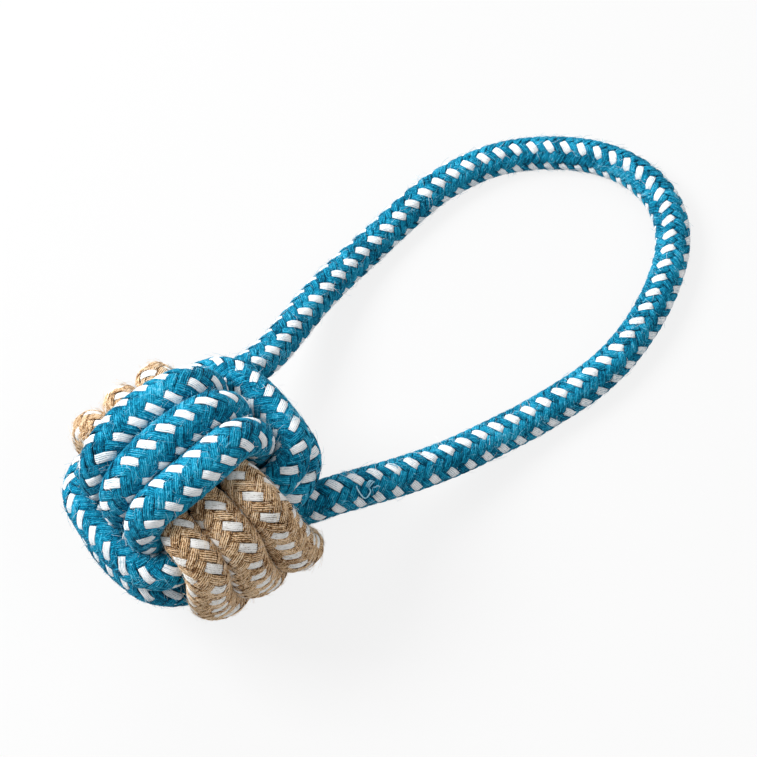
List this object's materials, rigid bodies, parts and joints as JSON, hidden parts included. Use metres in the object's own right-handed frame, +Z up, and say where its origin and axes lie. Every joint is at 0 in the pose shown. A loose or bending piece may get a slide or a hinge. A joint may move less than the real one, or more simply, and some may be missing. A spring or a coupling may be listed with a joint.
{
  "type": "rope dog toy",
  "caption": "Monkey's fist ball of blue and tan braided rope with a rope loop handle that folds up from the table, for throwing, tugging and chewing.",
  "frame": {"origin": "on the table under the ball's centre, on the flat that the ball rests on", "axes": "+X from the ball to the handle's bow, +Z up from the table, +Y to the handle's left leg"},
  "size_m": [0.1826, 0.0818, 0.0614],
  "materials": {
    "blue_rope": "braided cotton cord, teal blue with white tracer yarns, soft and matte",
    "tan_rope": "braided cotton cord, tan with white tracer yarns, coarse and matte",
    "wadding": "packed offcuts of blue cotton yarn, matte"
  },
  "bodies": {
    "ball": {"core_wad": "wadding", "blue_lengthwise_winding": "blue_rope", "blue_girth_winding": "blue_rope", "tan_winding": "tan_rope", "handle_sling": "blue_rope", "handle_root_left": "blue_rope", "handle_root_right": "blue_rope"},
    "legs": {"handle_leg_left": "blue_rope", "handle_leg_right": "blue_rope", "handle_knuckle_left": "blue_rope", "handle_knuckle_right": "blue_rope"},
    "bow": {"handle_bow": "blue_rope"}
  },
  "joints": [
    {"name": "handle_root_fold", "type": "hinge", "parent": "ball", "child": "legs", "pos_m": [0.0314, 0, 0.0188], "axis": [0, -1, 0], "range_deg": [0, 90], "deforming": ["handle_root_left", "handle_root_right"]},
    {"name": "handle_bow_fold", "type": "hinge", "parent": "legs", "child": "bow", "pos_m": [0.0909, 0, 0.0037], "axis": [0, -1, 0], "range_deg": [0, 90], "deforming": ["handle_knuckle_left", "handle_knuckle_right"]}
  ]
}
